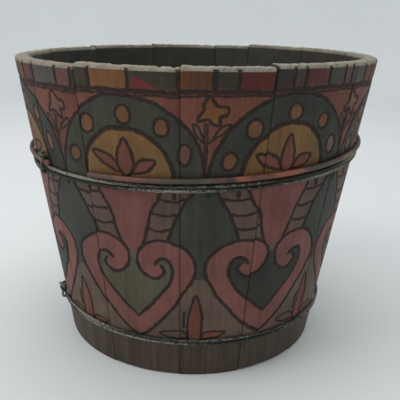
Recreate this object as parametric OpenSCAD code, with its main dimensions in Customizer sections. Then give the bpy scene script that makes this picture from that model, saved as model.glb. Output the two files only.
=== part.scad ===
// Coopered bucket: tapered staves, a croze-jointed bottom, an open rod hoop and two wire bindings.
// The origin is the centre of the foot, on the surface the bucket stands on. The front faces -Y.
// An angle written "bearing" is measured at the axis from the front, positive towards +X.

/* [Bucket] */
// Outer diameter across the rim
rim_diameter = 305; // [240:1:380]
// Outer diameter across the foot
foot_diameter = 229; // [180:1:300]
// Height of a stave from the foot to the rim, before it slid
stave_height = 249; // [180:1:320]
// Thickness of a stave
stave_thickness = 11; // [9:0.5:16]

/* [Stave edges] */
// Open width of each seam at the rim
seam_gap = 0.1; // [0.05:0.05:0.6]
// Depth of the worn arris on each side of a seam
seam_arris = 0.6; // [0.2:0.1:1.5]
// Radius of the rim's worn outer edge
rim_outer_round = 3; // [1:0.5:5]
// Radius of the rim's inner edge
rim_inner_round = 1.5; // [0.5:0.5:3]
// Width of the bevel inside the foot
foot_bevel = 3; // [1:0.5:5]
// Radius of the foot's outer edge
foot_round = 1; // [0.5:0.5:3]

/* [Croze] */
// Height of the groove for the bottom above the foot
croze_height = 21; // [14:1:40]
// Height of the groove's mouth
croze_width = 6; // [4:0.5:8]
// Depth of the groove
croze_depth = 4; // [2:0.5:5]
// How much the groove narrows above and below towards its back
croze_draft = 0.5; // [0:0.1:1]

/* [Bottom] */
// Thickness of the bottom boards
bottom_thickness = 12; // [9:0.5:16]
// Width of the bevel that thins the bottom's edge to the groove
bottom_bevel = 14; // [8:1:25]
// Clearance between the bottom's edge and the groove
bottom_clearance = 0.3; // [0.1:0.05:0.6]
// Width of the middle board
middle_board_width = 78; // [50:1:110]
// Open width of a joint between two boards
board_gap = 0.2; // [0.1:0.05:0.6]

/* [Dowels] */
// Diameter of a dowel
dowel_diameter = 6; // [4:0.5:8]
// Length of a dowel
dowel_length = 32; // [20:1:44]
// Distance between the two dowels of one joint
dowel_spacing = 96; // [60:1:120]
// Clearance round a dowel
dowel_clearance = 0.05; // [0.02:0.01:0.2]
// Bevel on a dowel's ends
dowel_bevel = 0.8; // [0.3:0.1:1.5]

/* [Rod hoop] */
// Diameter of the rod
rod_diameter = 4; // [3:0.5:6]
// Height of the rod hoop's middle above the foot
rod_hoop_height = 175.5; // [150:0.5:200]
// How far the rod hoop tilts, up to the right and back
hoop_tilt = 2.7; // [0:0.1:4]
// Bearing of the side towards which the hoop rises
hoop_rise_bearing = 122; // [90:1:180]
// Bearing of the rod's cut end on the front
rod_end_bearing = -31; // [-40:1:-20]
// Opening between the rod's two ends, in degrees
rod_opening = 19; // [5:1:30]

/* [Wire bindings] */
// Diameter of the upper binding's wire
upper_wire_diameter = 2.7; // [2:0.1:3.4]
// Diameter of the lower binding's wire
lower_wire_diameter = 2.4; // [1.8:0.1:3]
// Space between the rod hoop and the upper binding
binding_space = 0.7; // [0.4:0.1:2]
// Height of the lower binding's middle above the foot
lower_binding_height = 33; // [28:0.5:60]
// Space between neighbouring turns and strands of a wire
turn_space = 0.5; // [0.45:0.05:1]
// Clearance between a hoop and the staves
hoop_clearance = 0.15; // [0.1:0.05:0.3]
// Bearing of the upper binding's twisted ends
upper_twist_bearing = -53; // [-70:1:-45]
// Bearing of the lower binding's twisted ends
lower_twist_bearing = -68; // [-85:1:-50]
// Height of the twisted ends above the binding
twist_height = 11; // [10:0.5:16]
// Turns of the twisted ends
twist_turns = 0.75; // [0.5:0.25:1]

/* [Hidden] */
// Relative widths of the staves, from the left of the front round to the right
stave_shares = [20, 29, 24, 29, 27, 27, 27, 26, 15, 28, 28, 27, 26, 27];
// How far each stave stands above or below the common rim
rim_steps = [-2.9, -1, 0, 1.8, 1.5, 1, 1, 1, -0.8, -1.5, -2.3, -3.4, -3.8, -3.2];
// How far each stave's foot is worn short of the ground
foot_steps = [0, 0.8, 0, 1.2, 0.4, 0, 0.6, 0, 0.3, 0, 0.5, 0, 0.7, 0];
// Bearing of the seam where the first stave starts
first_seam_bearing = -52;

stave_count = len(stave_shares);
stave_numbers = [1 : stave_count];

$fn = 96;
tiny = 0.01;
rim_radius = rim_diameter / 2;
foot_radius = foot_diameter / 2;
// Widening of the bucket per unit of height, and the angle it makes
taper = (rim_radius - foot_radius) / stave_height;
taper_angle = atan(taper);
// The stave's thickness measured level
level_thickness = stave_thickness / cos(taper_angle);
round_steps = 6;
wire_sides = 8;
rings_per_turn = 72;
upper_pitch = upper_wire_diameter + turn_space;
lower_pitch = lower_wire_diameter + turn_space;
binding_turns = 2;
// How much wider the twisted strands lie than neighbouring turns
twist_spread = 1.12;

paint_red = [0.50, 0.24, 0.20];
paint_green = [0.24, 0.27, 0.21];
paint_brown = [0.45, 0.33, 0.20];
wood_olive = [0.32, 0.31, 0.25];
wood_brown = [0.38, 0.32, 0.25];
wood_pale = [0.62, 0.50, 0.34];
iron_brown = [0.50, 0.22, 0.14];
iron_grey = [0.55, 0.55, 0.48];

function sum(values, last) = last < 0 ? 0 : values[last] + sum(values, last - 1);
total_share = sum(stave_shares, stave_count - 1);
function seam_bearing(index) = first_seam_bearing + 360 * sum(stave_shares, index - 1) / total_share;
function outer_radius(height) = foot_radius + taper * height;
function inner_radius(height) = outer_radius(height) - level_thickness;
// Points of a quarter round between two directions given as angles
function round_points(centre, radius, from, to) =
    [for (step = [0 : round_steps])
        let(angle = from + (to - from) * step / round_steps)
        centre + radius * [cos(angle), sin(angle)]];

// Outline of a stave in radius and height
function stave_outline(foot, rim) =
    let(groove_low = croze_height)
    let(groove_high = croze_height + croze_width)
    concat(
        round_points([outer_radius(foot + foot_round) - foot_round, foot + foot_round], foot_round, -90, 0),
        round_points([outer_radius(rim - rim_outer_round) - rim_outer_round, rim - rim_outer_round],
            rim_outer_round, 0, 90),
        round_points([inner_radius(rim - rim_inner_round) + rim_inner_round, rim - rim_inner_round],
            rim_inner_round, 90, 180),
        [
            [inner_radius(groove_high), groove_high],
            [inner_radius(groove_high) + croze_depth, groove_high - croze_draft],
            [inner_radius(groove_low) + croze_depth, groove_low + croze_draft],
            [inner_radius(groove_low), groove_low],
            [inner_radius(foot + foot_bevel), foot + foot_bevel],
            [inner_radius(foot + foot_bevel) + foot_bevel, foot]
        ]);

// Square bar laid along the outside of a seam, to cut the worn arris
module seam_bar() {
    half = seam_arris * sqrt(2);
    translate([foot_radius, 0, 0])
        rotate([0, taper_angle, 0])
            translate([0, 0, -stave_height])
                linear_extrude(3 * stave_height)
                    polygon([[half, 0], [0, half], [-half, 0], [0, -half]]);
}

module stave(number) {
    index = number - 1;
    half_gap = seam_gap / rim_radius * 90 / PI;
    from = seam_bearing(index) - 90 + half_gap;
    span = seam_bearing(index + 1) - seam_bearing(index) - 2 * half_gap;
    color([paint_red, paint_green, paint_brown][index % 3])
        difference() {
            rotate([0, 0, from])
                rotate_extrude(angle = span)
                    polygon(stave_outline(foot_steps[index], stave_height + rim_steps[index]));
            for (edge = [from, from + span])
                rotate([0, 0, edge])
                    seam_bar();
        }
}

// The bottom's disc, thinned all round to sit in the croze
tongue_low = croze_height + croze_draft + bottom_clearance;
tongue_high = croze_height + croze_width - croze_draft - bottom_clearance;
bottom_middle_height = (tongue_low + tongue_high) / 2;
bottom_underside = bottom_middle_height - bottom_thickness / 2;
bottom_top = bottom_middle_height + bottom_thickness / 2;
bottom_edge_radius = inner_radius(croze_height) + croze_depth - bottom_clearance;
bottom_full_radius = inner_radius(bottom_underside) - bottom_bevel;
board_seam = middle_board_width / 2;

module bottom_disc() {
    rotate_extrude()
        polygon([
            [0, bottom_underside],
            [bottom_full_radius, bottom_underside],
            [inner_radius(croze_height) - bottom_clearance, tongue_low],
            [bottom_edge_radius, tongue_low],
            [bottom_edge_radius, tongue_high],
            [inner_radius(croze_height) - bottom_clearance, tongue_high],
            [bottom_full_radius, bottom_top],
            [0, bottom_top]
        ]);
}

// Places its children at the four dowels, lying across the joints
module at_dowels() {
    for (side = [-1, 1], seam = [-1, 1])
        translate([side * dowel_spacing / 2, seam * board_seam, bottom_middle_height])
            rotate([90, 0, 0])
                children();
}

// A board of the bottom between two distances from the middle, bored for the dowels
module bottom_board(from, to) {
    difference() {
        intersection() {
            bottom_disc();
            translate([-rim_radius, from, 0])
                cube([rim_diameter, to - from, stave_height]);
        }
        at_dowels()
            cylinder(h = dowel_length + 2 * dowel_bevel, d = dowel_diameter + 2 * dowel_clearance, center = true);
    }
}

module bottom_front() {
    color(wood_brown)
        bottom_board(-rim_radius, -board_seam - board_gap / 2);
}

module bottom_middle() {
    color(wood_olive)
        bottom_board(-board_seam + board_gap / 2, board_seam - board_gap / 2);
}

module bottom_back() {
    color(wood_brown)
        bottom_board(board_seam + board_gap / 2, rim_radius);
}

module dowel() {
    straight = dowel_length - 2 * dowel_bevel;
    cylinder(h = straight, d = dowel_diameter, center = true);
    for (end = [0, 180])
        rotate([end, 0, 0])
            translate([0, 0, straight / 2])
                cylinder(h = dowel_bevel, d1 = dowel_diameter, d2 = dowel_diameter - 2 * dowel_bevel);
}

module bottom_dowels() {
    color(wood_pale)
        at_dowels()
            dowel();
}

// Rise of the upper hoops' tilted plane above its middle, at a bearing
function tilt_rise(bearing, radius) = radius * tan(hoop_tilt) * cos(bearing - hoop_rise_bearing);

module rod_hoop() {
    stand_off = (rod_diameter / 2 + hoop_clearance) / cos(taper_angle);
    level_radius = outer_radius(rod_hoop_height) + stand_off;
    // A tilted ring on a cone lies a little off the axis, towards its high side
    off_axis = level_radius * tan(hoop_tilt) * taper;
    ring_radius = level_radius / cos(hoop_tilt);
    color(iron_brown)
        rotate([0, 0, hoop_rise_bearing - 90])
            translate([off_axis, 0, rod_hoop_height])
                rotate([0, -hoop_tilt, 0])
                    rotate([0, 0, rod_end_bearing - hoop_rise_bearing])
                        rotate_extrude(angle = 360 - rod_opening)
                            translate([ring_radius, 0])
                                circle(d = rod_diameter, $fn = 48);
}

// Point of a wire from its bearing, its height and how far its middle stands off the staves
function wire_point(bearing, height, stand_off) =
    let(radius = outer_radius(height) + stand_off / cos(taper_angle))
    [radius * sin(bearing), -radius * cos(bearing), height];

// Point beside the twist: across to the right, out from the stave and up from the wire's first turn
function twist_point(bearing, height, across, out, up) =
    wire_point(bearing + across / outer_radius(height) * 180 / PI, height + up, out);

// Ring of points round one place of a path, square to the path
function ring(before, here, after, radius) =
    let(along = (after - before) / norm(after - before))
    let(side = cross(along, [0, 0, 1]))
    let(out = norm(side) > tiny ? side / norm(side) : [1, 0, 0])
    let(up = cross(out, along))
    [for (corner = [0 : wire_sides - 1])
        let(angle = 360 * corner / wire_sides)
        here + radius * (cos(angle) * out + sin(angle) * up)];

// One closed tube along a path
module tube(path, diameter) {
    last = len(path) - 1;
    rings = [for (i = [0 : last])
        ring(path[max(i - 1, 0)], path[i], path[min(i + 1, last)], diameter / 2)];
    points = [for (circle_points = rings, point = circle_points) point];
    sides = [for (i = [0 : last - 1], corner = [0 : wire_sides - 1])
        let(next = (corner + 1) % wire_sides)
        let(base = i * wire_sides)
        let(over = base + wire_sides)
        each [
            [base + corner, base + next, over + next],
            [base + corner, over + next, over + corner]
        ]];
    start_cap = [for (corner = [1 : wire_sides - 2]) [0, corner + 1, corner]];
    end_base = last * wire_sides;
    end_cap = [for (corner = [1 : wire_sides - 2]) [end_base, end_base + corner, end_base + corner + 1]];
    polyhedron(points = points, faces = concat(sides, start_cap, end_cap));
}

// Path of a wire laid round twice, each turn one pitch lower, with both ends twisted together
function binding_path(bearing, height, diameter, pitch, tilted) =
    let(seat = diameter / 2 + hoop_clearance)
    let(strand = twist_spread * pitch / 2)
    let(axis_out = seat + strand)
    let(twist_foot = 1.5 * diameter)
    let(twist_steps = ceil(twist_turns * 12))
    let(first_height = height + (tilted ? tilt_rise(bearing, outer_radius(height)) : 0))
    let(twist = function(strand_start) [for (step = [twist_steps : -1 : 0])
        let(turn = strand_start + 360 * twist_turns * step / twist_steps)
        twist_point(bearing, first_height, strand * cos(turn), axis_out + strand * sin(turn),
            twist_foot + (twist_height - twist_foot) * step / twist_steps)])
    let(first_bend = [
        twist_point(bearing, first_height, strand + 0.2, axis_out - 0.5 * strand, 0.75 * twist_foot),
        twist_point(bearing, first_height, strand + 0.8, seat + 0.25 * strand, 0.35 * twist_foot),
        twist_point(bearing, first_height, strand + 2.2, seat, 0.05 * twist_foot)])
    let(drop = binding_turns * pitch)
    let(over = seat + pitch)
    let(last_bend = [
        twist_point(bearing, first_height, -strand - 6, seat, -drop),
        twist_point(bearing, first_height, -strand - 3.2, seat + 0.5 * pitch, -drop),
        twist_point(bearing, first_height, -strand - 1.4, seat + 0.9 * pitch, -0.85 * drop),
        twist_point(bearing, first_height, -strand - 0.5, over + 0.1 * pitch, -0.6 * drop),
        twist_point(bearing, first_height, -strand - 0.1, over + 0.1 * pitch, -0.3 * drop),
        twist_point(bearing, first_height, -strand, over, 0),
        twist_point(bearing, first_height, -strand, axis_out + 0.6 * strand, 0.5 * twist_foot)])
    let(steps = binding_turns * rings_per_turn)
    let(turns = [for (step = [1 : steps - 1])
        let(here = bearing + 360 * step / rings_per_turn)
        let(level = height - pitch * step / rings_per_turn)
        let(rise = tilted ? tilt_rise(here, outer_radius(height)) : 0)
        wire_point(here, level + rise, seat)])
    let(last_twist = twist(180))
    concat(twist(0), first_bend, turns, last_bend,
        [for (i = [len(last_twist) - 1 : -1 : 0]) last_twist[i]]);

// Least space of a wire to itself, past the rings that are its own neighbours
function least_space(path, diameter, neighbours) =
    min([for (i = [0 : len(path) - 1], j = [i + neighbours : len(path) - 1])
        norm(path[i] - path[j])]) - diameter;

upper_height = rod_hoop_height - (rod_diameter + upper_wire_diameter) / 2 - binding_space;
upper_path = binding_path(upper_twist_bearing, upper_height, upper_wire_diameter, upper_pitch, true);
lower_height = lower_binding_height + lower_pitch;
lower_path = binding_path(lower_twist_bearing, lower_height, lower_wire_diameter, lower_pitch, false);
own_neighbours = 12;

module upper_binding() {
    echo(upper_binding_space = least_space(upper_path, upper_wire_diameter, own_neighbours));
    color(iron_grey)
        tube(upper_path, upper_wire_diameter);
}

module lower_binding() {
    echo(lower_binding_space = least_space(lower_path, lower_wire_diameter, own_neighbours));
    color(iron_grey)
        tube(lower_path, lower_wire_diameter);
}

for (number = stave_numbers) stave(number);
bottom_front();
bottom_middle();
bottom_back();
bottom_dowels();
rod_hoop();
upper_binding();
lower_binding();
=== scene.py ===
"""Looks of the coopered bucket: burnt and painted staves, worn rim, painted rod hoop, bare wire bindings."""
import math

import bpy
import numpy as np
from mathutils import Matrix, Vector


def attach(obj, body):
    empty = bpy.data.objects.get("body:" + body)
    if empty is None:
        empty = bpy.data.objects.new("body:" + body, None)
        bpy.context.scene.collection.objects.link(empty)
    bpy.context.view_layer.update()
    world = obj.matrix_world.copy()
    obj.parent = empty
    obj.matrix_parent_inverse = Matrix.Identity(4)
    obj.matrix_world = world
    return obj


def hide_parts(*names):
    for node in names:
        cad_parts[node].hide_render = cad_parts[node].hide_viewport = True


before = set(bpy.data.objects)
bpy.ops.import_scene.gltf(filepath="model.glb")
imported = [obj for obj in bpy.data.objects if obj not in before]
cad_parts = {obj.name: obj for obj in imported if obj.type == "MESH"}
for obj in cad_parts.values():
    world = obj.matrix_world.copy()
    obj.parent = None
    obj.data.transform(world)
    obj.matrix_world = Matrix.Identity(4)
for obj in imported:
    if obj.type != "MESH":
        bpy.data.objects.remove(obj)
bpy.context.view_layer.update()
MM = 0.001

# Driving dimensions of the bucket, in millimetres
FOOT_RADIUS = 114.5
RIM_RADIUS = 152.5
STAVE_HEIGHT = 249.0
STAVE_THICKNESS = 11.0
TAPER = (RIM_RADIUS - FOOT_RADIUS) / STAVE_HEIGHT
TAPER_ANGLE = math.atan(TAPER)
LEVEL_THICKNESS = STAVE_THICKNESS / math.cos(TAPER_ANGLE)
STAVE_COUNT = 14


def outer_radius(height):
    return FOOT_RADIUS + TAPER * height


def inner_radius(height):
    return outer_radius(height) - LEVEL_THICKNESS


# Paint and wood colours, as 8-bit display values
PAINTS = {
    "red": (104, 62, 50), "rose": (106, 66, 61), "heart_red": (113, 72, 66),
    "green": (57, 56, 46), "slate": (49, 50, 44), "olive": (79, 75, 59), "bell": (55, 56, 50),
    "gold": (109, 80, 47), "orange": (103, 69, 45), "lotus": (106, 63, 51), "flower": (110, 71, 38),
    "ground": (92, 76, 65), "ladder": (88, 70, 61), "faded": (104, 72, 63),
    "block_grey": (70, 66, 61), "block_faded": (98, 66, 62), "block_olive": (57, 50, 38),
    "block_gold": (108, 72, 44), "block_green": (56, 50, 38), "block_amber": (90, 55, 34),
    "block_red": (84, 38, 34), "block_dark": (49, 43, 37), "block_brown": (69, 55, 44),
    "block_rose": (86, 50, 48), "block_moss": (62, 60, 50), "block_dusk": (82, 62, 58),
    "triangle": (98, 42, 38), "inside": (55, 53, 46),
    "rust": (84, 58, 44), "rod_red": (112, 62, 54), "rod_orange": (142, 78, 58),
    "rod_brown": (58, 44, 34), "rod_gold": (110, 84, 52),
}

# Blocks of the border under the rim: bearing of the first, then each one's paint and width in degrees
BORDER_START = -50.8
BORDER_BLOCKS = [("block_grey", 11.7), ("block_faded", 5.9), ("block_olive", 6.0), ("block_gold", 10.8),
                 ("block_green", 12.7), ("block_amber", 9.3), ("block_olive", 5.9), ("block_red", 9.5),
                 ("block_dark", 5.1), ("block_brown", 3.6), ("block_rose", 8.2), ("block_moss", 6.5),
                 ("block_dusk", 3.6), ("block_grey", 8.0), ("block_amber", 6.2), ("block_rose", 7.0)]
BORDER_REPEATS = round(360 / sum(width for _, width in BORDER_BLOCKS))
WIDE_EDGE_BLOCK = ("block_olive", 5.9)
TRIANGLE_BLOCK = 4
BLOCK_EDGE = 1.9
WIDE_BLOCK_EDGE = 3.1

# Heights and radii of the pattern on a stave that hasn't slid
BORDER_LOW = 234.3
BORDER_LINE = 232.6
THIN_LINE = 229.9
ARCH_BASE = 174.0
ARCH_RADIUS = 56.0
ARCH_LEG_LOW = 160
DISC_RADIUS = 33.5
UPPER_FIELD = 168
BELL_LOW = 91

# Eight cells of the pattern: three wide ones on the front, and five that share the rest
FRONT_AXIS = -18.4
FRONT_STEP = 46.4
FRONT_CELLS = 4
BACK_CELLS = 5
BACK_STEP = (360 - (FRONT_CELLS - 1) * FRONT_STEP) / BACK_CELLS
BRIGHT_SPRIG = 1
ALL_ROUND = 1e9


def hashed(i, j, seed):
    value = np.sin(i * 127.1 + j * 311.7 + seed * 74.7) * 43758.5453
    return value - np.floor(value)


def noise(x, y, seed=0):
    """Smooth noise from -1 to 1 over a unit lattice."""
    i, j = np.floor(x), np.floor(y)
    u, v = x - i, y - j
    u, v = u * u * (3 - 2 * u), v * v * (3 - 2 * v)
    low = hashed(i, j, seed) * (1 - u) + hashed(i + 1, j, seed) * u
    high = hashed(i, j + 1, seed) * (1 - u) + hashed(i + 1, j + 1, seed) * u
    return 2 * (low * (1 - v) + high * v) - 1


def spline(points, steps=5, closed=False):
    """Smooth curve through points."""
    p = np.array(points, float)
    if closed:
        p = np.vstack([p[-1], p, p[0], p[1]])
    else:
        p = np.vstack([2 * p[0] - p[1], p, 2 * p[-1] - p[-2]])
    t = (np.arange(steps) / steps)[:, None]
    parts = []
    for a, b, c, d in zip(p, p[1:], p[2:], p[3:]):
        square, cube = 2 * a - 5 * b + 4 * c - d, 3 * b - a - 3 * c + d
        parts.append(0.5 * (2 * b + (c - a) * t + square * t**2 + cube * t**3))
    if not closed:
        parts.append(p[-2][None])
    return np.vstack(parts)


def oval(s, z, wide, high):
    """Smooth oval from its centre and half sizes."""
    turn = np.radians(np.arange(0, 360, 30))
    return spline(np.stack([s + wide * np.sin(turn), z + high * np.cos(turn)], -1), 3, True)


def half_circle(radius, base):
    turn = np.radians(np.linspace(0, 180, 25))
    return np.stack([-radius * np.cos(turn), base + radius * np.sin(turn)], -1)


# Distance that stands for no burnt line near, and how much wider a line burns than it is drawn
NO_LINE = 9.0
BURN_SPREAD = 0.5


class Canvas:
    """Paint and burnt lines on points of the outside, each given by a bearing and a height."""

    def __init__(self, bearing, height):
        self.bearing, self.height = bearing, height
        self.arc = np.radians(bearing) * outer_radius(height)
        warp = 0.75 * noise(self.arc / 11, height / 11, 3) + 0.3 * noise(self.arc / 3.1, height / 3.1, 5)
        lift = 0.75 * noise(self.arc / 12, height / 12, 7) + 0.3 * noise(self.arc / 2.9, height / 2.9, 9)
        self.warp, self.lift = warp, lift
        self.paint = np.zeros((len(bearing), 3))
        self.line = np.full(len(bearing), NO_LINE)
        coarse = noise(self.arc / 2.2, height / 2.2, 11)
        self.blot = 1 + 0.28 * coarse + 0.12 * noise(self.arc / 0.9, height / 0.9, 12)

    def look(self, axis, half_width):
        """Works from now on about an axis at this bearing."""
        turn = (self.bearing - axis + 180) % 360 - 180
        s = np.radians(turn) * outer_radius(self.height)
        self.near = np.nonzero(np.abs(s) < half_width)[0]
        self.s = s[self.near] + self.warp[self.near]
        self.z = self.height[self.near] + self.lift[self.near]

    def in_box(self, low, high):
        inside = (self.s >= low[0]) & (self.s <= high[0]) & (self.z >= low[1]) & (self.z <= high[1])
        return np.nonzero(inside)[0]

    def within(self, loop):
        """Points inside a closed shape."""
        loop = np.asarray(loop, float)
        box = self.in_box(loop.min(0), loop.max(0))
        s, z = self.s[box], self.z[box]
        odd = np.zeros(len(box), bool)
        for (s0, z0), (s1, z1) in zip(loop, np.roll(loop, -1, 0)):
            if z0 == z1:
                continue
            cross = (z0 > z) != (z1 > z)
            odd ^= cross & (s < (s1 - s0) * (z - z0) / (z1 - z0) + s0)
        return box[odd]

    def fill(self, loop, paint):
        self.paint[self.near[self.within(loop)]] = PAINTS[paint]

    def fill_where(self, mask, paint):
        self.paint[self.near[mask]] = PAINTS[paint]

    def burn(self, path, width, reach=6.0):
        """Burns a line along a path, a little wider than it is drawn."""
        path = np.asarray(path, float)
        box = self.in_box(path.min(0) - reach, path.max(0) + reach)
        if not len(box):
            return
        s, z = self.s[box], self.z[box]
        best = np.full(len(box), reach**2)
        for (s0, z0), (s1, z1) in zip(path, path[1:]):
            ds, dz = s1 - s0, z1 - z0
            size = ds * ds + dz * dz
            if size == 0:
                continue
            t = np.clip(((s - s0) * ds + (z - z0) * dz) / size, 0, 1)
            np.minimum(best, (s - s0 - t * ds) ** 2 + (z - z0 - t * dz) ** 2, out=best)
        index = self.near[box]
        edge = np.sqrt(best) - (width + BURN_SPREAD) / 2 * self.blot[index]
        self.line[index] = np.minimum(self.line[index], edge)

    def outline(self, loop, width):
        """Burns a line round a closed shape."""
        self.burn(np.vstack([loop, loop[:1]]), width)


def paint_ground(c):
    c.look(0, ALL_ROUND)
    c.fill_where(np.ones(len(c.s), bool), "ground")
    c.fill_where(c.z > UPPER_FIELD, "red")


def paint_border(c):
    """Coloured blocks under the rim, with burnt lines between and below them."""
    c.look(0, ALL_ROUND)
    band = c.z > BORDER_LOW
    start = BORDER_START
    edges = []
    for block in BORDER_BLOCKS * BORDER_REPEATS:
        name, width = block
        c.fill_where(band & ((c.bearing - start) % 360 < width), name)
        edges.append((start, WIDE_BLOCK_EDGE if block == WIDE_EDGE_BLOCK else BLOCK_EDGE))
        start += width
    for edge, width in edges:
        c.look(edge, 12)
        c.burn([(0, BORDER_LOW - 1), (0, STAVE_HEIGHT + 3)], width)
    before = sum(width for _, width in BORDER_BLOCKS[:TRIANGLE_BLOCK])
    middle = BORDER_START + before + BORDER_BLOCKS[TRIANGLE_BLOCK][1] / 2
    for repeat in range(BORDER_REPEATS):
        c.look(middle + repeat * 360 / BORDER_REPEATS, 30)
        c.fill([(-14.5, BORDER_LOW), (-14.5, 241.5), (-9, 241), (-2, 238), (7.5, 234), (7.5, BORDER_LOW)],
               "triangle")
    for bearing in range(-165, 180, 30):
        c.look(bearing, 45)
        c.burn([(-60, BORDER_LINE), (60, BORDER_LINE)], 2.5)
        c.burn([(-60, THIN_LINE), (60, THIN_LINE)], 0.9)


# Spots of an arch: angle round it, half width, half height, drop and paint
ARCH_SPOTS = [(15, 4.8, 5.4, 0, "orange"), (50, 5.4, 6.2, 0, "orange"), (91, 4.8, 5.8, 2, "orange"),
              (128, 4.5, 5.2, 0, "orange"), (159, 4.2, 6.6, 0, "faded")]
SPOT_MARGIN = 0.7
LOTUS_MIDDLE = [(0, 172), (4.6, 178), (5.6, 185), (4.0, 193), (0, 201), (-5.0, 192), (-6.2, 185), (-5.0, 178)]
LOTUS_LEFT = [(-4, 175.5), (-11, 176.5), (-19, 181), (-25.5, 189), (-16, 188.6), (-9, 184.5), (-5.5, 179)]
LOTUS_RIGHT = [(4, 175.5), (11, 175.8), (17, 178), (21.5, 184.8), (14, 185.8), (9, 184), (6, 179)]


def paint_arch(c, axis, number):
    """Arch with spots round a gold disc, and the lotus that stands on it."""
    c.look(axis, 66)
    odd = number % 2
    top = ARCH_RADIUS + 0.6 * odd
    outer = half_circle(top, ARCH_BASE)
    disc = half_circle(DISC_RADIUS, ARCH_BASE + 2.0 * odd)
    ring_paint = ("green", "slate")[odd]
    for half, curve, paint, width in ((top, outer, ring_paint, 2.0), (DISC_RADIUS, disc, "gold", 2.8)):
        legs = np.vstack([[(-half, ARCH_LEG_LOW)], curve, [(half, ARCH_LEG_LOW)]])
        c.fill(legs, paint)
        c.burn(legs, width)
    middle = (ARCH_RADIUS + DISC_RADIUS) / 2
    for turn, wide, high, drop, name in ARCH_SPOTS:
        s = -middle * math.cos(math.radians(turn))
        z = ARCH_BASE + middle * math.sin(math.radians(turn)) - drop
        spot = oval(s, z, wide, high)
        c.fill(spot, name)
        c.outline(spot, 0.1)
        c.outline(oval(s, z, wide + SPOT_MARGIN, high + SPOT_MARGIN), 1.4)
    for points in (LOTUS_LEFT, LOTUS_RIGHT, LOTUS_MIDDLE):
        petal = spline(points, 4, True)
        c.fill(petal, "lotus")
        c.outline(petal, 1.5)


# Left halves of the heart and of the ladder above it, about the cell's axis
HEART_OUTER = [(0, 36), (-10, 43), (-20, 52.5), (-28, 62), (-36, 72), (-44, 83), (-50, 93), (-52, 101.5),
               (-49.5, 110.5), (-43, 118), (-33, 123), (-22, 124), (-12, 121), (-6, 116), (-3.5, 110),
               (-4, 103), (-7, 97), (-12.5, 93), (-19, 92.2), (-24.5, 95.5), (-26.5, 99.5), (-24, 103)]
HEART_INNER = [(-18.5, 104), (-21, 107), (-26, 109), (-31, 107), (-33.5, 100), (-31.5, 91), (-26.5, 83),
               (-18, 73), (-8, 63), (0, 56)]
HEART_NARROW = 0.89
HEART_LOBE_POINTS = 60
LADDER_IN = [(27, 166), (24, 159), (20, 152), (16, 144), (13.3, 135), (11.3, 127), (8.5, 119.5), (4, 114)]
LADDER_OUT = [(53, 167), (47, 159), (42, 151.5), (37, 142.5), (32.5, 133), (29.5, 125)]
LADDER_NARROW = 0.93
LADDER_RUNGS = [(157.5, 1.2), (145.5, 1.5), (134.0, 1.5)]


def paint_heart(c, axis, number):
    """Heart with curled ends, hung from two ladders that come down from the arch."""
    c.look(axis, 62)
    ladder_in = spline(LADDER_IN, 4)
    ladder_out = spline(LADDER_OUT, 4)
    c.fill(np.vstack([ladder_in * (-1, 1), ladder_in[::-1]]), "rose")
    for across in (-1, LADDER_NARROW):
        rail_in, rail_out = ladder_in * (across, 1), ladder_out * (across, 1)
        c.fill(np.vstack([rail_in, rail_out[::-1]]), "ladder")
        c.burn(rail_in, 1.9)
        c.burn(rail_out, 1.9)
        for z, sag in LADDER_RUNGS:
            a = np.interp(z, rail_in[::-1, 1], rail_in[::-1, 0])
            b = np.interp(z, rail_out[::-1, 1], rail_out[::-1, 0])
            c.burn(spline([(a, z), ((a + b) / 2, z - sag), (b, z + 0.5)], 3), 1.4)
    halves = [(spline(HEART_OUTER, 4) * (across, 1), spline(HEART_INNER, 4) * (across, 1))
              for across in (1, -HEART_NARROW)]
    for outer, _ in halves:
        c.fill(np.vstack([outer[:HEART_LOBE_POINTS], [(0, 112)]]), ("olive", "slate")[number % 2])
    for outer, inner in halves:
        c.fill(np.vstack([outer, inner]), "heart_red")
        c.burn(outer, 2.0)
        c.burn(inner, 1.9)


def paint_bell(c, axis):
    """Dark bell between two ladders."""
    c.look(axis, 40)
    c.fill_where((c.z > BELL_LOW) & (c.z < UPPER_FIELD), "bell")


FLOWER = [(-1, 228), (2.5, 223.5), (8.5, 222), (8, 217.5), (4.5, 217), (5, 211.5), (1, 213), (-2, 215.5),
          (-8, 214.5), (-6.5, 218.5), (-4.5, 221), (-4.5, 225)]
FLOWER_HEART = np.array([0.5, 220])
FLOWER_MARGIN = 1.14
SPRIG_LEAF = [(-4.5, 199), (-9, 203), (-13, 211.5), (-9.5, 210.5), (-6, 204.5)]
SPRIG_BUD = [(2, 202.5), (6, 204), (10.5, 207), (12.5, 211), (8, 209.8), (4, 206.5)]


def paint_sprig(c, axis, faded):
    """Flower on a stem between two arches."""
    c.look(axis, 40)
    flower = spline(FLOWER, 4, True)
    c.fill(flower, "faded" if faded else "flower")
    c.outline(FLOWER_HEART + (flower - FLOWER_HEART) * FLOWER_MARGIN, 1.6)
    c.burn([(-4.3, 212), (-3.8, 200), (-3.6, 184)], 0.8)
    c.burn([(-2.2, 212), (-2.0, 200), (-2.2, 184)], 0.9)
    leaf = spline(SPRIG_LEAF, 4, True)
    c.fill(leaf, "ground")
    c.outline(leaf, 1.0)
    bud = spline(SPRIG_BUD, 4, True)
    c.fill(bud, "faded" if faded else "orange")
    c.outline(bud, 1.1)
    c.burn([(-2.5, 197.5), (2, 202.5)], 0.8)


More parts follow.
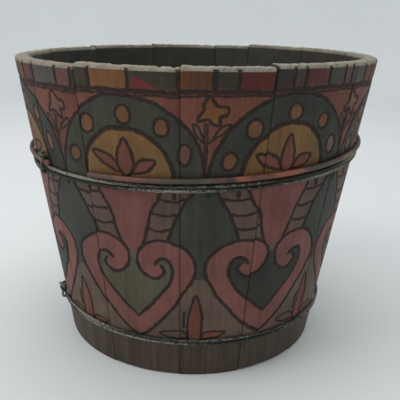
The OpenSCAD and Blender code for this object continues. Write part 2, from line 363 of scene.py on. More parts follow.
BASE_PETAL = [(-7.5, 34), (-8.5, 46), (-8.3, 57), (-6.5, 67), (-3.2, 77), (0.2, 69), (2.6, 60), (2.6, 50),
              (1.2, 34)]
BASE_RIGHT = [(2, 36), (9, 36.5), (16, 38.5), (20, 42), (12, 43.8), (5, 42)]
BASE_LEFT = [(-9, 37), (-17, 36.5), (-25, 38.5), (-30, 42), (-20, 45), (-12, 43)]


def paint_base(c, axis):
    """Small lotus between two hearts, just above the lower hoop."""
    c.look(axis, 34)
    petals = ((BASE_PETAL, "lotus", 1.4), (BASE_RIGHT, "lotus", 1.3), (BASE_LEFT, "ladder", 1.3))
    for points, name, width in petals:
        petal = spline(points, 4, True)
        c.fill(petal, name)
        c.outline(petal, width)
    c.burn(spline([(-11.5, 61), (-12.3, 54), (-11.7, 48)], 3), 2.0)


def cell_axes():
    axes = [FRONT_AXIS + FRONT_STEP * (k - 1) for k in range(FRONT_CELLS)]
    return axes + [axes[-1] + BACK_STEP * k for k in range(1, BACK_CELLS)]


def decorate(bearing, height):
    """Paints the whole pattern on points of the outside."""
    c = Canvas(bearing, height)
    axes = cell_axes()
    between = [(a + b) / 2 for a, b in zip(axes, axes[1:] + [axes[0] + 360])]
    paint_ground(c)
    for axis in between:
        paint_bell(c, axis)
    for number, axis in enumerate(between):
        paint_sprig(c, axis + 0.4, number != BRIGHT_SPRIG)
        paint_base(c, axis - 0.8)
    for number, axis in enumerate(axes, 1):
        paint_arch(c, axis, number)
        paint_heart(c, axis, number)
    paint_border(c)
    return c


# Colours
def linear(rgb):
    """Scene-linear values of an 8-bit display colour."""
    c = np.asarray(rgb, float) / 255
    return np.where(c <= 0.04045, c / 12.92, ((c + 0.055) / 1.055) ** 2.4)


def rgba(rgb):
    return (*[float(v) for v in linear(rgb)], 1.0)


# Meshes
def make_mesh(name, points, faces):
    """Smooth object from points in millimetres and faces."""
    mesh = bpy.data.meshes.new(name)
    mesh.from_pydata([tuple(p) for p in np.asarray(points) * MM], [], faces)
    mesh.polygons.foreach_set("use_smooth", [True] * len(mesh.polygons))
    mesh.update()
    piece = bpy.data.objects.new(name, mesh)
    bpy.context.scene.collection.objects.link(piece)
    return piece


def grid_faces(rows, columns, closed_rows=False, closed_columns=False):
    """Quads over a grid of points in row-major order."""
    r = np.arange(rows if closed_rows else rows - 1)
    c = np.arange(columns if closed_columns else columns - 1)
    r, c = np.meshgrid(r, c, indexing="ij")
    r1, c1 = (r + 1) % rows, (c + 1) % columns
    quads = np.stack([r * columns + c, r * columns + c1, r1 * columns + c1, r1 * columns + c], -1)
    return quads.reshape(-1, 4)


def attribute(piece, name, values):
    """Stores a value per point: a number, a vector or a colour."""
    values = np.asarray(values, np.float32)
    kind = {1: "FLOAT", 3: "FLOAT_VECTOR", 4: "FLOAT_COLOR"}[1 if values.ndim == 1 else values.shape[1]]
    field = {"FLOAT": "value", "FLOAT_VECTOR": "vector", "FLOAT_COLOR": "color"}[kind]
    layer = piece.data.attributes.new(name, kind, "POINT")
    layer.data.foreach_set(field, values.ravel())


# Materials
BUMP_HEIGHT = 0.5 * MM


class Nodes:
    """Short way to write a node tree."""

    def __init__(self, name):
        self.material = bpy.data.materials.new(name)
        self.material.use_nodes = True
        self.tree = self.material.node_tree
        self.shader = self.tree.nodes["Principled BSDF"]

    def put(self, socket, value):
        if isinstance(value, bpy.types.NodeSocket):
            self.tree.links.new(value, socket)
        else:
            socket.default_value = value

    def node(self, kind, inputs=(), **settings):
        made = self.tree.nodes.new(kind)
        for key, value in settings.items():
            setattr(made, key, value)
        for key, value in dict(inputs).items():
            self.put(made.inputs[key], value)
        return made

    def value(self, name):
        return self.node("ShaderNodeAttribute", attribute_name=name).outputs["Fac"]

    def colour(self, name):
        return self.node("ShaderNodeAttribute", attribute_name=name).outputs["Color"]

    def vector(self, name):
        return self.node("ShaderNodeAttribute", attribute_name=name).outputs["Vector"]

    def math(self, operation, a, b=0.0):
        return self.node("ShaderNodeMath", {0: a, 1: b}, operation=operation).outputs[0]

    def times(self, a, b):
        return self.math("MULTIPLY", a, b)

    def plus(self, a, b):
        return self.math("ADD", a, b)

    def swing(self, value, size):
        """A noise from 0 to 1 made to swing about zero by half a size."""
        return self.times(self.math("SUBTRACT", value, 0.5), size)

    def scaled(self, vector, scale):
        made = self.node("ShaderNodeVectorMath", {0: vector, 1: scale}, operation="MULTIPLY")
        return made.outputs[0]

    def noise(self, vector, scale, detail=3.0, rough=0.55, distort=0.0):
        """Noise from 0 to 1 over a vector stretched by a scale per axis."""
        made = self.node("ShaderNodeTexNoise", {"Vector": self.scaled(vector, scale), "Scale": 1.0,
                                                "Detail": detail, "Roughness": rough, "Distortion": distort})
        return made.outputs["Fac"]

    def step(self, value, low, high, to_low=0.0, to_high=1.0):
        """Smooth step of a value between two limits."""
        made = self.node("ShaderNodeMapRange", {"Value": value, "From Min": low, "From Max": high,
                                                "To Min": to_low, "To Max": to_high},
                         interpolation_type="SMOOTHSTEP")
        return made.outputs["Result"]

    def mix(self, factor, a, b, blend="MIX"):
        made = self.node("ShaderNodeMix", data_type="RGBA", blend_type=blend)
        for socket, value in ((made.inputs[0], factor), (made.inputs[6], a), (made.inputs[7], b)):
            self.put(socket, value)
        return made.outputs[2]

    def shade(self, colour, factor):
        """Colour multiplied by a number."""
        made = self.node("ShaderNodeVectorMath", {0: colour, "Scale": factor}, operation="SCALE")
        return made.outputs[0]

    def bump(self, height, strength, distance):
        return self.node("ShaderNodeBump", {"Height": height, "Strength": strength,
                                            "Distance": distance}).outputs["Normal"]

    def finish(self, colour, roughness, normal, **constants):
        self.put(self.shader.inputs["Base Color"], colour)
        self.put(self.shader.inputs["Roughness"], roughness)
        self.put(self.shader.inputs["Normal"], normal)
        for key, value in constants.items():
            self.shader.inputs[key.replace("_", " ")].default_value = value
        return self.material


DARK_WOOD = [(64, 53, 45), (80, 67, 57)]
PALE_WOOD = [(112, 104, 90), (158, 151, 136)]
CHAR = [(33, 26, 24), (50, 41, 36)]
GRIME = (84, 74, 64)
SCUFF = (150, 138, 120)
# Near-black for the dirt and painted shade along the seams between staves
SEAM_DIRT_AND_SHADE = (30, 25, 22)
DUST = (170, 160, 144)


def stave_material():
    """Old paint with burnt lines over grained wood, worn through to bare wood where it is rubbed."""
    n = Nodes("painted_stave_finish")
    grain = n.vector("grain")
    line, edge, cover, tone = n.value("line"), n.value("edge"), n.value("cover"), n.value("tone")
    fibres = n.noise(grain, (1.5, 0.05, 1.0), 4.0, 0.6)
    streaks = n.noise(grain, (0.32, 0.012, 1.0), 3.0, 0.55, 0.4)
    blotch = n.noise(grain, (0.045, 0.035, 1.0), 3.0, 0.6)
    speck = n.noise(grain, (0.9, 0.8, 1.0), 2.0, 0.7)
    fine = n.noise(grain, (2.6, 2.2, 1.0), 3.0, 0.7)

    # Bare wood, dark on the foot and pale on the rim
    dark = n.mix(n.step(streaks, 0.35, 0.65), rgba(DARK_WOOD[0]), rgba(DARK_WOOD[1]))
    pale = n.mix(n.step(fibres, 0.3, 0.7), rgba(PALE_WOOD[0]), rgba(PALE_WOOD[1]))
    bare = n.shade(n.mix(tone, dark, pale), n.step(fine, 0.2, 0.8, 0.82, 1.15))

    # Paint, mottled and grimy, worn off by the fibres
    shade = n.times(n.step(blotch, 0.25, 0.75, 0.8, 1.2), n.step(streaks, 0.3, 0.7, 0.9, 1.1))
    shade = n.times(shade, n.step(fibres, 0.25, 0.75, 0.88, 1.12))
    paint = n.mix(n.step(speck, 0.6, 0.78, 0.0, 0.35), n.shade(n.colour("paint"), shade), rgba(GRIME))
    worn = n.plus(n.plus(cover, n.swing(fine, 0.9)), n.swing(fibres, 0.7))
    colour = n.mix(n.step(worn, 0.42, 0.62), bare, paint)

    # Burnt lines with ragged edges and pale scuffs beside them
    burnt = n.step(n.plus(line, n.swing(fine, 0.9)), -0.35, 0.55, 1.0, 0.0)
    char = n.mix(n.step(speck, 0.35, 0.65), rgba(CHAR[0]), rgba(CHAR[1]))
    colour = n.mix(n.times(burnt, 0.93), colour, char)
    near = n.step(n.math("ABSOLUTE", n.math("SUBTRACT", line, 0.7)), 0.2, 1.1, 1.0, 0.0)
    scuff = n.times(near, n.step(n.noise(grain, (0.75, 0.55, 1.0), 3.0, 0.75), 0.6, 0.7))
    colour = n.mix(n.times(scuff, 0.45), colour, rgba(SCUFF))

    # Dirt and painted shade in the seams, and dust
    seam_dirt_and_shade = n.step(n.plus(edge, n.times(fine, 0.6)), 0.3, 0.85, 0.75, 0.0)
    colour = n.mix(seam_dirt_and_shade, colour, rgba(SEAM_DIRT_AND_SHADE))
    dust = n.step(n.noise(grain, (0.33, 0.3, 1.0), 4.0, 0.8), 0.72, 0.8)
    colour = n.mix(n.times(dust, 0.5), colour, rgba(DUST))

    rough = n.step(n.plus(fine, n.times(burnt, 0.3)), 0.2, 1.0, 0.5, 0.72)
    relief = n.math("SUBTRACT", n.plus(n.times(fibres, 0.6), n.times(fine, 0.4)), n.times(burnt, 0.5))
    return n.finish(colour, rough, n.bump(relief, 0.55, BUMP_HEIGHT), Specular_IOR_Level=0.2)


def board_material(name, dark, pale):
    """Sawn wood with grain along X."""
    n = Nodes(name)
    place = n.node("ShaderNodeTexCoord").outputs["Object"]
    fibres = n.noise(place, (60, 1400, 1400), 4.0, 0.6)
    streaks = n.noise(place, (12, 300, 300), 3.0, 0.55, 0.4)
    blotch = n.noise(place, (40, 40, 40), 3.0, 0.6)
    colour = n.mix(n.step(streaks, 0.3, 0.7), rgba(dark), rgba(pale))
    shade = n.times(n.step(fibres, 0.25, 0.75, 0.8, 1.15), n.step(blotch, 0.3, 0.7, 0.8, 1.15))
    rough = n.step(fibres, 0.2, 0.8, 0.62, 0.8)
    return n.finish(n.shade(colour, shade), rough, n.bump(fibres, 0.5, BUMP_HEIGHT), Specular_IOR_Level=0.3)


IRON = (46, 42, 38)
VERDIGRIS = (48, 58, 47)
CRUST = [(108, 103, 92), (168, 165, 152)]
RUST = [(40, 32, 27), (86, 72, 58)]


def wire_material():
    """Bare iron wire gone dark, with pale and green corrosion."""
    n = Nodes("bare_wire_finish")
    way = n.vector("way")
    crust = n.noise(way, (0.35, 0.9, 1.0), 4.0, 0.7)
    grit = n.noise(way, (1.4, 1.4, 1.0), 3.0, 0.7)
    green = n.noise(way, (0.05, 0.3, 1.0), 2.0, 0.6)
    dark = n.mix(n.step(green, 0.45, 0.62), rgba(IRON), rgba(VERDIGRIS))
    light = n.mix(n.step(grit, 0.35, 0.65), rgba(CRUST[0]), rgba(CRUST[1]))
    amount = n.step(n.plus(crust, n.times(n.value("pale"), 0.35)), 0.52, 0.66)
    n.put(n.shader.inputs["Metallic"], n.step(amount, 0.0, 1.0, 0.55, 0.15))
    relief = n.bump(n.plus(crust, n.times(grit, 0.5)), 0.8, 1.2 * BUMP_HEIGHT)
    return n.finish(n.mix(amount, dark, light), n.step(grit, 0.2, 0.8, 0.45, 0.75), relief,
                    Specular_IOR_Level=0.4)


def rod_material():
    """Iron rod painted over with the staves' colours, worn and chipped."""
    n = Nodes("painted_iron_finish")
    way = n.vector("way")
    chips = n.noise(way, (0.25, 0.6, 1.0), 4.0, 0.7)
    grit = n.noise(way, (1.2, 1.2, 1.0), 3.0, 0.7)
    paint = n.shade(n.colour("paint"), n.step(grit, 0.2, 0.8, 0.75, 1.2))
    bare = n.mix(n.step(grit, 0.4, 0.6), rgba(RUST[0]), rgba(RUST[1]))
    colour = n.mix(n.step(n.plus(chips, n.value("cover")), 0.95, 1.1), bare, paint)
    relief = n.bump(n.plus(chips, n.times(grit, 0.4)), 0.6, BUMP_HEIGHT)
    return n.finish(colour, n.step(grit, 0.2, 0.8, 0.4, 0.62), relief, Specular_IOR_Level=0.5)


def plain_material(name, colour, rough):
    """Even, matt surface for the stage."""
    n = Nodes(name)
    place = n.node("ShaderNodeTexCoord").outputs["Object"]
    tint = n.shade(rgba(colour)[:3], n.step(n.noise(place, (3, 3, 3), 2.0), 0.3, 0.7, 0.99, 1.01))
    n.put(n.shader.inputs["Base Color"], tint)
    n.shader.inputs["Roughness"].default_value = rough
    n.shader.inputs["Specular IOR Level"].default_value = 0.2
    return n.material


# Staves
RIM_OUTER_ROUND = 3.0
RIM_INNER_ROUND = 1.5
FOOT_ROUND = 1.0
FOOT_BEVEL = 3.0
# The croze groove: height above the foot, width, depth and draft
CROZE = (21.0, 6.0, 4.0, 0.5)
# Grid of a stave's skin outside, and its rows inside
STAVE_ROW = 0.65
STAVE_COLUMN = 0.7
INNER_ROW = 3.0
SEAM_ARRIS = 0.35
# Height up to which the foot is unpainted
FOOT_BAND = 31.0
OUTSIDE, RIM, INSIDE, FOOT = range(4)
# Shifts the inside's grain away from the outside's
INSIDE_GRAIN = 300
GRAIN_PER_STAVE = 17.3
SEED_PER_STAVE = 3.7
# Staves' bearings are counted from here, left of the first stave, so that none is split by a full turn
FIRST_BEARING = FRONT_AXIS - 60


def stave_limits(node):
    """Bearings of a stave's two edges and the heights of its foot and rim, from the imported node."""
    points = np.array([v.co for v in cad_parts[node].data.vertices]) / MM
    bearing = np.degrees(np.arctan2(points[:, 0], -points[:, 1]))
    middle = math.degrees(math.atan2(points[:, 0].mean(), -points[:, 1].mean()))
    turn = (bearing - middle + 180) % 360 - 180
    low = (middle + turn.min() - FIRST_BEARING) % 360 + FIRST_BEARING
    return low, low + turn.max() - turn.min(), points[:, 2].min(), points[:, 2].max()


def quarter(radius, height, size, start, stop, steps):
    turn = np.radians(np.linspace(start, stop, steps + 1))
    return [(radius + size * math.cos(a), height + size * math.sin(a)) for a in turn]


def stave_outline(foot, rim):
    """Closed outline: radius, height and side, from the foot up outside, over the rim and down inside."""
    low, tall, deep, draft = CROZE
    rows = []

    def add(points, side):
        rows.extend((r, z, side) for r, z in points)

    bottom = foot + FOOT_ROUND
    shoulder = rim - RIM_OUTER_ROUND
    heights = np.linspace(bottom, shoulder, int((shoulder - bottom) / STAVE_ROW) + 1)
    add(quarter(outer_radius(bottom) - FOOT_ROUND, bottom, FOOT_ROUND, -80, -20, 2), FOOT)
    add([(outer_radius(z), z) for z in heights], OUTSIDE)
    add(quarter(outer_radius(shoulder) - RIM_OUTER_ROUND, shoulder, RIM_OUTER_ROUND, 12, 90, 7), RIM)
    brow = rim - RIM_INNER_ROUND
    top_out, top_in = outer_radius(shoulder) - RIM_OUTER_ROUND, inner_radius(brow) + RIM_INNER_ROUND
    add([(top_out + (top_in - top_out) * k / 8, rim) for k in range(1, 8)], RIM)
    add(quarter(top_in, brow, RIM_INNER_ROUND, 90, 180, 4), RIM)
    heights = np.linspace(brow - 0.8, low + tall, int((brow - low - tall) / INNER_ROW) + 1)
    add([(inner_radius(z), z) for z in heights], INSIDE)
    high = low + tall
    add([(inner_radius(high) + deep, high - draft), (inner_radius(low) + deep, low + draft)], FOOT)
    heights = np.linspace(low, foot + FOOT_BEVEL, 7)
    add([(inner_radius(z), z) for z in heights], FOOT)
    inside, outside = inner_radius(foot + FOOT_BEVEL) + FOOT_BEVEL, outer_radius(bottom) - FOOT_ROUND
    add([(inside + (outside - inside) * k / 6, foot) for k in range(7)], FOOT)
    return np.array(rows)


def outline_normals(outline):
    """Outward directions of a closed outline in radius and height."""
    along = np.roll(outline[:, :2], -1, 0) - np.roll(outline[:, :2], 1, 0)
    out = np.stack([along[:, 1], -along[:, 0]], -1)
    return out / np.linalg.norm(out, axis=1)[:, None]


def stave_sink(side, arc, height, rim, line, edge, seed):
    """How far each point of a stave lies below its plain surface."""
    sink = np.zeros(len(arc))
    outside, top, inside = side == OUTSIDE, side == RIM, side == INSIDE
    waves = 0.12 * (1 + noise(arc / 24 + seed, height / 60, 21))
    fibres = 0.05 * (1 + noise(arc / 0.8 + seed, height / 22, 22))
    sink[outside] = (waves + fibres)[outside]
    depth = 0.55 * (1 + 0.35 * noise(arc / 2.0, height / 2.0, 23))
    sink += np.where(outside | top, (1 - np.clip(line + 0.75, 0, 1)) * depth, 0)
    sink += np.where(inside, 0.3 * (1 + noise(arc / 14, height / 50, 24)), 0)
    rough = 0.35 * (1 + noise(arc / 3.2, (height - rim) / 3 + seed, 25))
    rough = rough + 0.2 * (1 + noise(arc / 1.1, height, 26))
    chips = np.clip(noise(arc / 4.5, seed + 0.5 + 0 * arc, 27) - 0.45, 0, 1) * 2.2
    sink += np.where(top, rough + chips, 0)
    nicks = 1 + 0.5 * noise(height / 5, seed + 0 * height, 28)
    arris = SEAM_ARRIS * np.clip(1 - edge, 0, 1) ** 1.5 * nicks
    sink += np.where(side == FOOT, 0.0, arris)
    return sink


def stave_cover(side, height, rim):
    """How much paint each point keeps, from 0 to 1, and how pale its bare wood is."""
    drop = rim - height
    cover = np.ones(len(height))
    cover[side == OUTSIDE] = 0.45 + np.clip((drop[side == OUTSIDE] - RIM_OUTER_ROUND) / 3.0, 0, 0.55)
    cover[side == RIM] = 0.1
    cover[side == INSIDE] = np.clip((drop[side == INSIDE] - RIM_INNER_ROUND) / 3.0, 0, 1)
    cover[unpainted(side, height)] = 0.0
    tone = np.where(side == RIM, 1.0, np.clip(1 - (drop - RIM_OUTER_ROUND) / 2.0, 0, 1))
    return cover, tone


def unpainted(side, height):
    return (side == FOOT) | ((side == OUTSIDE) & (height < FOOT_BAND))


def stave_pattern(bearing, height, slide, side, level_normal):
    """Paint of each point, and its distance from the edge of a burnt line."""
    paint = np.zeros((len(bearing), 3))
    paint[:] = PAINTS["inside"]
    line = np.full(len(bearing), NO_LINE)
    shown = (side == OUTSIDE) | (side == RIM)
    canvas = decorate(bearing[shown], height[shown] - slide)
    paint[shown], line[shown] = canvas.paint, canvas.line
    paint[(side == RIM) & (level_normal < 0.05)] = PAINTS["inside"]
    line[(side == RIM) & (level_normal < 0.8)] = NO_LINE
    line[unpainted(side, height)] = NO_LINE
    return paint, line


def stave_piece(number):
    """One stave with its carved lines, and the paint, wear and grain of each point."""
    node = f"stave_{number}"
    start, stop, foot, rim = stave_limits(node)
    slide = rim - STAVE_HEIGHT
    outline = stave_outline(foot, rim)
    columns = int(math.radians(stop - start) * RIM_RADIUS / STAVE_COLUMN) + 1
    rows = len(outline)
    radius, height, side = np.repeat(outline, columns, 0).T
    normal = np.repeat(outline_normals(outline), columns, 0)
    bearing = np.tile(np.linspace(start, stop, columns), rows)
    arc = np.radians(bearing) * outer_radius(height)
    edge = np.radians(np.minimum(bearing - start, stop - bearing)) * radius

    paint, line = stave_pattern(bearing, height, slide, side, normal[:, 0])
    cover, tone = stave_cover(side, height, rim)
    sink = stave_sink(side, arc, height, rim, line, edge, number * SEED_PER_STAVE)
    radius = radius - normal[:, 0] * sink
    level = height - normal[:, 1] * sink
    turn = np.radians(bearing)
    points = np.stack([radius * np.sin(turn), -radius * np.cos(turn), level], -1)
    quads = grid_faces(rows, columns, closed_rows=True)
    left = list(range(0, rows * columns, columns))
    right = [i + columns - 1 for i in left]
    piece = make_mesh(f"stave_{number}_skin", points, quads.tolist() + [left, right[::-1]])
    piece.data.polygons[-1].use_smooth = False
    piece.data.polygons[-2].use_smooth = False

    colour = np.ones((len(arc), 4))
    colour[:, :3] = linear(paint)
    across = np.where((side == INSIDE) | (side == FOOT), arc + INSIDE_GRAIN, arc)
    across = across + (radius - outer_radius(height)) * (side == RIM)
    grain = np.stack([across, height - slide, GRAIN_PER_STAVE * number + 0 * arc], -1)
    values = {"paint": colour, "line": line, "edge": edge, "cover": cover, "tone": tone, "grain": grain}
    for name, value in values.items():
        attribute(piece, name, value)
    piece.data.materials.append(STAVE_FINISH)
    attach(piece, "root")
    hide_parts(node)


# Hoops
ROD_DIAMETER = 4.0
ROD_HEIGHT = 175.5
HOOP_TILT = math.radians(2.7)
RISE_BEARING = 122.0
ROD_END = -31.0
ROD_OPENING = 19.0
UPPER_WIRE = 2.7
LOWER_WIRE = 2.4
BINDING_SPACE = 0.7
LOWER_HEIGHT = 33.0
TURN_SPACE = 0.5
HOOP_CLEARANCE = 0.15
UPPER_TWIST = -53.0
LOWER_TWIST = -68.0
TWIST_HEIGHT = 11.0
TWIST_TURNS = 0.75
TWIST_SPREAD = 1.12
UPPER_HEIGHT = ROD_HEIGHT - (ROD_DIAMETER + UPPER_WIRE) / 2 - BINDING_SPACE
UPPER_PITCH = UPPER_WIRE + TURN_SPACE
LOWER_PITCH = LOWER_WIRE + TURN_SPACE
LOWER_FIRST_HEIGHT = LOWER_HEIGHT + LOWER_PITCH
# Fineness of the hoops: steps of a wire's turn, steps of its twist, steps and sides of the rod
TURN_STEPS = 900
TWIST_STEPS = 14
TURN_MARGIN = 4
WIRE_SIDES = 14
ROD_STEPS = 1000
ROD_SIDES = 18


def tilt_rise(bearing, radius):
    return radius * math.tan(HOOP_TILT) * np.cos(np.radians(bearing - RISE_BEARING))


def wire_point(bearing, height, stand_off):
    radius = outer_radius(height) + stand_off / math.cos(TAPER_ANGLE)
    turn = np.radians(bearing)
    return np.stack([radius * np.sin(turn), -radius * np.cos(turn), height + 0 * turn], -1)


def twist_point(bearing, height, across, out, up):
    return wire_point(bearing + np.degrees(across / outer_radius(height)), height + up, out)


def binding_path(bearing, height, diameter, pitch, tilted):
    """Path of a wire laid round twice with both ends twisted together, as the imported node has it."""
    seat = diameter / 2 + HOOP_CLEARANCE
    strand = TWIST_SPREAD * pitch / 2
    axis_out = seat + strand
    twist_foot = 1.5 * diameter
    first = height + (tilt_rise(bearing, outer_radius(height)) if tilted else 0.0)

    def twist(start):
        points = []
        for k in range(TWIST_STEPS, -1, -1):
            a = math.radians(start + 360 * TWIST_TURNS * k / TWIST_STEPS)
            across, out = strand * math.cos(a), axis_out + strand * math.sin(a)
            up = twist_foot + (TWIST_HEIGHT - twist_foot) * k / TWIST_STEPS
            points.append(twist_point(bearing, first, across, out, up))
        return points

    first_bend = [twist_point(bearing, first, strand + 0.2, axis_out - 0.5 * strand, 0.75 * twist_foot),
                  twist_point(bearing, first, strand + 0.8, seat + 0.25 * strand, 0.35 * twist_foot),
                  twist_point(bearing, first, strand + 2.2, seat, 0.05 * twist_foot)]
    drop, over = 2 * pitch, seat + pitch
    last_bend = [twist_point(bearing, first, -strand - 6, seat, -drop),
                 twist_point(bearing, first, -strand - 3.2, seat + 0.5 * pitch, -drop),
                 twist_point(bearing, first, -strand - 1.4, seat + 0.9 * pitch, -0.85 * drop),
                 twist_point(bearing, first, -strand - 0.5, over + 0.1 * pitch, -0.6 * drop),
                 twist_point(bearing, first, -strand - 0.1, over + 0.1 * pitch, -0.3 * drop),
                 twist_point(bearing, first, -strand, over, 0),
                 twist_point(bearing, first, -strand, axis_out + 0.6 * strand, 0.5 * twist_foot)]
    steps = np.arange(TURN_MARGIN, 2 * (TURN_STEPS - TURN_MARGIN))
    here = bearing + 360 * steps / TURN_STEPS
    level = height - pitch * steps / TURN_STEPS
    if tilted:
        level = level + tilt_rise(here, outer_radius(height))
    turns = wire_point(here, level, seat)
    return (spline(twist(0) + first_bend, 3)[:-1], turns, spline(last_bend + twist(180)[::-1], 3))


def tube(name, path, radius, sides, seed, lumps=0.08):
    """Closed tube along a path, with uneven skin; gives the piece and each point's place along and round."""
    along = np.gradient(path, axis=0)
    along /= np.linalg.norm(along, axis=1)[:, None]
    out = np.cross(along, (0, 0, 1.0))
    size = np.linalg.norm(out, axis=1)[:, None]
    out = np.where(size > 0.05, out / np.maximum(size, 0.05), (1.0, 0, 0))
    up = np.cross(out, along)
    run = np.concatenate([[0], np.cumsum(np.linalg.norm(np.diff(path, axis=0), axis=1))])
    turn = np.radians(np.arange(sides) * 360 / sides)
    run, turn = np.meshgrid(run, turn, indexing="ij")
    wide = radius - lumps * (1 + noise(run / 2.3, turn * 1.3, seed))
    wide = wide - 0.5 * lumps * (1 + noise(run / 0.9, turn * 2.2, seed + 1))
    spoke = np.cos(turn)[..., None] * out[:, None] + np.sin(turn)[..., None] * up[:, None]
    points = path[:, None] + wide[..., None] * spoke
    count = len(path)
    quads = grid_faces(count, sides, closed_columns=True)
    caps = [list(range(sides))[::-1], list(range((count - 1) * sides, count * sides))]
    piece = make_mesh(name, points.reshape(-1, 3), quads.tolist() + caps)
    return piece, run.ravel(), turn.ravel()


def binding(node, parts, diameter, seed):
    """One wire binding, bare and corroded."""
    piece, run, turn = tube(f"{node}_skin", np.vstack(parts), diameter / 2, WIRE_SIDES, seed)
    attribute(piece, "way", np.stack([run, turn * diameter / 2, seed + 0 * run], -1))
    attribute(piece, "pale", 0.5 * noise(run / 60, 0 * run, seed + 5))
    piece.data.materials.append(WIRE_FINISH)
    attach(piece, "root")
    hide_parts(node)


# Where each paint of the rod starts, by bearing from just left of its cut end
ROD_PAINT_START = -31.5
ROD_PAINT = [(-31, "rust"), (-22, "rod_red"), (-9, "ladder"), (-3, "olive"), (6, "rust"), (9, "rod_brown"),
             (12, "rod_orange"), (17, "rod_red"), (24, "rod_orange"), (33, "rod_gold"), (42, "rust"),
             (52, "rod_gold"), (60, "slate"), (75, "rod_red"), (95, "olive"), (118, "rust"), (140, "green"),
             (165, "rod_gold"), (190, "rod_red"), (215, "olive"), (240, "rust"), (265, "slate"),
             (290, "rod_red"), (311, "olive")]


def rod_path():
    """Middle line of the rod hoop: a ring in a tilted plane, a little off the axis towards its high side."""
    stand_off = (ROD_DIAMETER / 2 + HOOP_CLEARANCE) / math.cos(TAPER_ANGLE)
    level_radius = outer_radius(ROD_HEIGHT) + stand_off
    off_axis = level_radius * math.tan(HOOP_TILT) * TAPER
    ring = level_radius / math.cos(HOOP_TILT)
    start = math.radians(ROD_END - RISE_BEARING)
    turn = start + np.radians(360 - ROD_OPENING) * np.arange(ROD_STEPS) / (ROD_STEPS - 1)
    x, y = ring * np.cos(turn), ring * np.sin(turn)
    px = x * math.cos(HOOP_TILT) + off_axis
    pz = x * math.sin(HOOP_TILT) + ROD_HEIGHT
    rise = math.radians(RISE_BEARING - 90)
    ahead, aside = math.cos(rise), math.sin(rise)
    return np.stack([px * ahead - y * aside, px * aside + y * ahead, pz], -1)


def rod_piece():
    """The painted rod hoop."""
    path = rod_path()
    piece, run, around = tube("rod_hoop_skin", path, ROD_DIAMETER / 2, ROD_SIDES, 41, 0.05)
    attribute(piece, "way", np.stack([run, around * ROD_DIAMETER / 2, 5 + 0 * run], -1))
    points = np.repeat(path, ROD_SIDES, 0)
    bearing = np.degrees(np.arctan2(points[:, 0], -points[:, 1]))
    bearing = (bearing - ROD_PAINT_START) % 360 + ROD_PAINT_START
    bearing = bearing + 1.2 * noise(run / 4, around, 44)
    starts = np.array([start for start, _ in ROD_PAINT])
    pick = np.clip(np.searchsorted(starts, bearing) - 1, 0, len(ROD_PAINT) - 1)
    colour = np.ones((len(run), 4))
    colour[:, :3] = linear(np.array([PAINTS[name] for _, name in ROD_PAINT], float)[pick])
    attribute(piece, "paint", colour)
    attribute(piece, "cover", 0.62 + 0.3 * noise(run / 25, 0 * run, 45))
    piece.data.materials.append(ROD_FINISH)
    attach(piece, "root")
    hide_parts("rod_hoop")


# Bottom
BOTTOM_WOOD = [(44, 40, 33), (72, 64, 52)]
DOWEL_WOOD = [(120, 94, 60), (150, 122, 84)]


def dress_bottom():
    """Finishes of the bottom's boards and dowels, which stay as they were packed."""
    boards = board_material("bottom_wood_finish", *BOTTOM_WOOD)
    pins = board_material("dowel_wood_finish", *DOWEL_WOOD)
    finishes = {"bottom_front": boards, "bottom_middle": boards, "bottom_back": boards, "bottom_dowels": pins}
    for node, finish in finishes.items():
        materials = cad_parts[node].data.materials
        materials.clear()
        materials.append(finish)


# Stage
CAMERA_PLACE = (6.7, -518.0, 280.0)
CAMERA_PITCH = math.radians(17.894)
CAMERA_ROLL = math.radians(1.511)
FOCAL_PIXELS = 576.9
PICTURE_PIXELS = 400
SENSOR = 36.0
FLOOR_COLOUR = (224, 228, 229)
# Reach of the flat floor, radius of its bend and height of the wall, in millimetres
FLOOR_FLAT, FLOOR_BEND, FLOOR_WALL = 1500.0, 700.0, 1500.0
FLOOR_SIDES = 96
LIGHT_AIM = (0, 0, 0.1)


def add_camera():
    data = bpy.data.cameras.new("camera")
    data.sensor_width = SENSOR
    data.lens = FOCAL_PIXELS / PICTURE_PIXELS * SENSOR
    data.clip_start, data.clip_end = 0.01, 20
    camera = bpy.data.objects.new("camera", data)
    bpy.context.scene.collection.objects.link(camera)
    camera.location = [v * MM for v in CAMERA_PLACE]
    camera.rotation_mode = "XYZ"
    turn = Matrix.Rotation(math.pi / 2 - CAMERA_PITCH, 4, "X") @ Matrix.Rotation(CAMERA_ROLL, 4, "Z")
    camera.rotation_euler = turn.to_euler("XYZ")
    bpy.context.scene.camera = camera


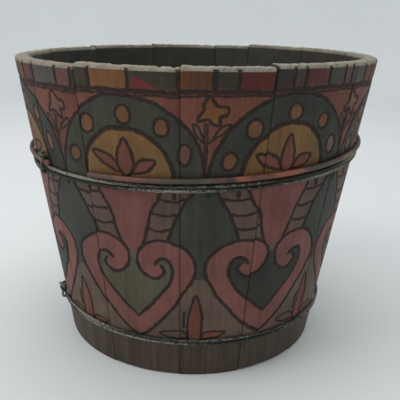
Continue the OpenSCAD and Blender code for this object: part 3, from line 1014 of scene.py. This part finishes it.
def add_floor():
    """A pale sweep: a round floor that curves up into a wall all round."""
    profile = [(FLOOR_FLAT * k / 12, 0.0) for k in range(1, 13)]
    profile += [(FLOOR_FLAT + FLOOR_BEND * math.sin(a), FLOOR_BEND - FLOOR_BEND * math.cos(a))
                for a in np.radians(np.arange(10, 91, 10))]
    profile += [(FLOOR_FLAT + FLOOR_BEND, FLOOR_BEND + FLOOR_WALL)]
    turn = np.radians(np.arange(FLOOR_SIDES) * 360 / FLOOR_SIDES)
    points = [(r * math.cos(a), r * math.sin(a), z) for r, z in profile for a in turn]
    quads = grid_faces(len(profile), FLOOR_SIDES, closed_columns=True)[:, ::-1].tolist()
    quads.append(list(range(FLOOR_SIDES)))
    floor = make_mesh("floor", points, quads)
    floor.data.materials.append(plain_material("floor_finish", FLOOR_COLOUR, 0.8))


def add_light(name, place, size, power, colour=(1, 1, 1)):
    """Square lamp, in metres and watts, aimed at the bucket."""
    data = bpy.data.lights.new(name, "AREA")
    data.shape = "RECTANGLE"
    data.size = data.size_y = size
    data.energy = power
    data.color = colour
    lamp = bpy.data.objects.new(name, data)
    bpy.context.scene.collection.objects.link(lamp)
    lamp.location = place
    lamp.rotation_euler = (Vector(LIGHT_AIM) - Vector(place)).to_track_quat("-Z", "Y").to_euler()
    lamp.visible_camera = False


def add_lights():
    world = bpy.data.worlds.new("world")
    bpy.context.scene.world = world
    world.use_nodes = True
    back = world.node_tree.nodes["Background"]
    back.inputs["Color"].default_value = (1.0, 1.0, 1.0, 1.0)
    back.inputs["Strength"].default_value = 0.75
    add_light("key", (-1.1, -0.5, 1.3), 1.0, 9.0, (1.0, 0.99, 0.97))
    add_light("top", (0.1, 0.3, 1.7), 1.4, 8.0)
    bpy.context.scene.view_settings.view_transform = "Standard"


STAVE_FINISH = stave_material()
WIRE_FINISH = wire_material()
ROD_FINISH = rod_material()
for stave_number in range(1, STAVE_COUNT + 1):
    stave_piece(stave_number)
dress_bottom()
rod_piece()
upper_path = binding_path(UPPER_TWIST, UPPER_HEIGHT, UPPER_WIRE, UPPER_PITCH, True)
lower_path = binding_path(LOWER_TWIST, LOWER_FIRST_HEIGHT, LOWER_WIRE, LOWER_PITCH, False)
binding("upper_binding", upper_path, UPPER_WIRE, 51)
binding("lower_binding", lower_path, LOWER_WIRE, 61)
add_camera()
add_floor()
add_lights()
